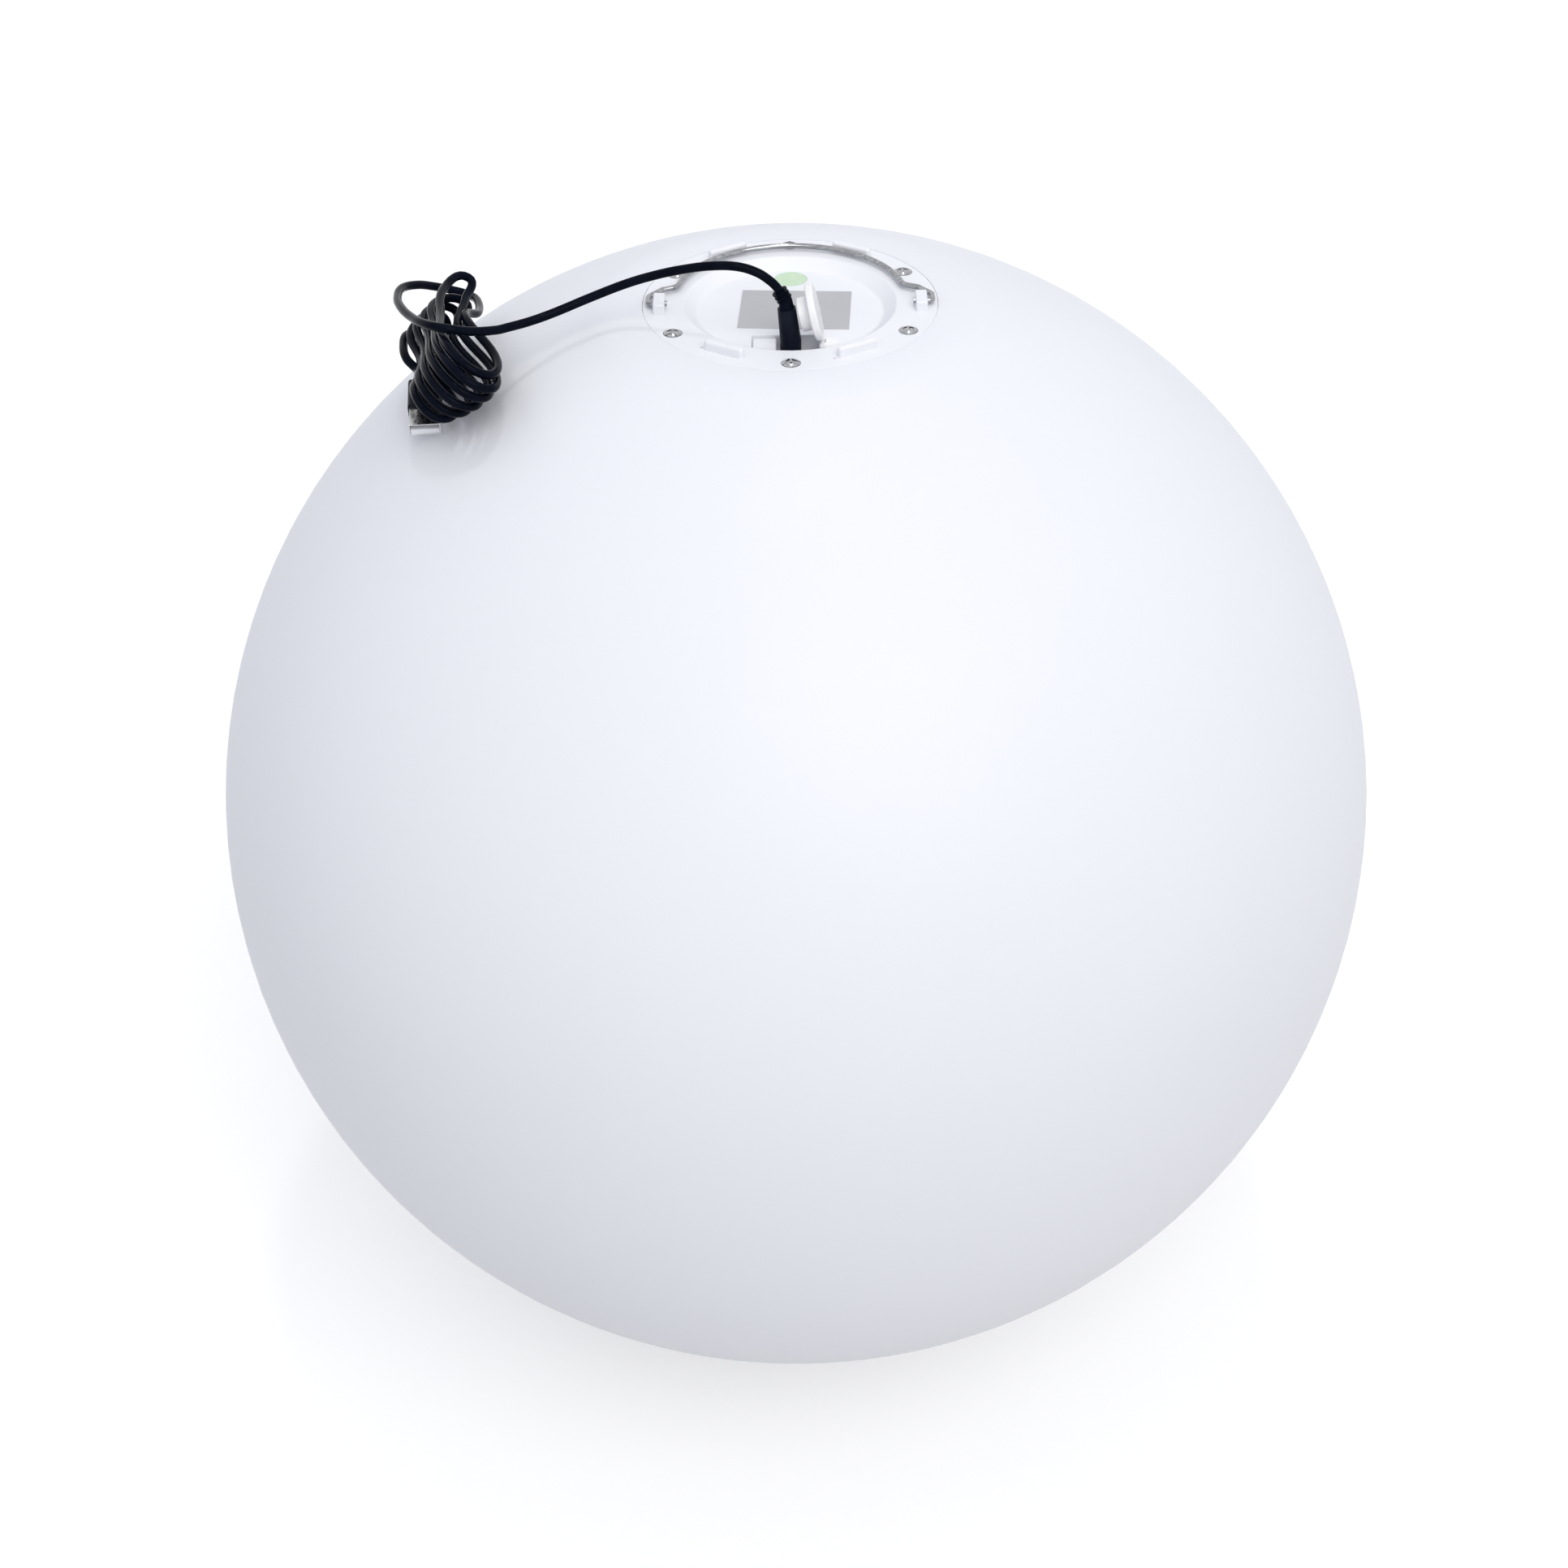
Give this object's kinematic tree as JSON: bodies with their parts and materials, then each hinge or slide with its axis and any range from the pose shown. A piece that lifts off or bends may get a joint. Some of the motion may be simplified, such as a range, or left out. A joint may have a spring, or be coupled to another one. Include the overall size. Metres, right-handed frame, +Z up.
{
  "type": "garden globe light",
  "caption": "Rechargeable globe floor light lying crown down, with a round base plate, folding wire bail, charging plug, cap and coiled lead.",
  "frame": {"origin": "lowest point of the globe's crown, where the light rests as pictured", "axes": "+Z up along the globe's axis through the middle of the base plate; +X to the right and -Y toward the camera, with the charging socket on the -Y side of the plate"},
  "size_m": [0.4999, 0.4998, 0.5204],
  "materials": {
    "globe_plastic": "satin, translucent white",
    "white_plastic": "satin moulded",
    "frosted_plastic": "frosted",
    "grey_rubber": "matt",
    "clear_rubber": "satin",
    "screw_steel": "bright zinc",
    "bail_steel": "drawn wire",
    "insert_brass": "plain",
    "label_foil": "satin foil",
    "spreader_metal": "plain",
    "window_green": "pale green, translucent",
    "black_plastic": "satin black",
    "board_green": "solder mask",
    "lamp_yellow": "phosphor",
    "cell_wrap": "shrink film",
    "wire_red": "satin",
    "lead_rubber": "satin black",
    "plug_metal": "nickel"
  },
  "bodies": {
    "lamp": {"globe_shell": "globe_plastic", "rim_inserts": "insert_brass", "base_gasket": "grey_rubber", "base_screws": "screw_steel", "base_plate": "white_plastic", "rating_label": "label_foil", "indicator_lens": "window_green", "status_lamp": "lamp_yellow", "button_boot": "grey_rubber", "button_switch": "black_plastic", "cap_tether": "clear_rubber", "charge_socket": "black_plastic", "socket_pin": "insert_brass", "control_board": "board_green", "control_chips": "black_plastic", "remote_receiver": "black_plastic", "board_screws": "screw_steel", "housing_seal": "grey_rubber", "module_housing": "white_plastic", "housing_screws": "screw_steel", "battery_cells": "cell_wrap", "battery_cradle": "black_plastic", "battery_band": "black_plastic", "heat_spreader": "spreader_metal", "led_board": "white_plastic", "led_chips": "lamp_yellow", "led_dome": "frosted_plastic", "dome_screws": "screw_steel", "battery_wires": "wire_red", "led_wires": "wire_red", "plug_body": "black_plastic", "plug_barrel": "plug_metal", "plug_strain_relief": "lead_rubber", "lead_run": "lead_rubber", "lead_hank": "lead_rubber", "usb_plug_body": "black_plastic", "usb_shell": "plug_metal", "usb_tongue": "white_plastic"},
    "bail": {"bail_handle": "bail_steel"},
    "button": {"power_button": "white_plastic", "stem_clip": "screw_steel"},
    "cap": {"socket_cap": "clear_rubber"}
  },
  "joints": [
    {"name": "bail_swing", "type": "hinge", "parent": "lamp", "child": "bail", "pos_m": [0, -0.0045, 0.4925], "axis": [1, 0, 0], "range_deg": [0, 115]},
    {"name": "button_press", "type": "slide", "parent": "lamp", "child": "button", "axis": [0, 0, -1], "range_m": [0, 0.0008], "stiffness_N_per_m": 800, "springref_m": -0.0005},
    {"name": "cap_swing", "type": "hinge", "parent": "lamp", "child": "cap", "pos_m": [0.0121, -0.0285, 0.4873], "axis": [0, 1, 0], "range_deg": [0, 60]}
  ]
}
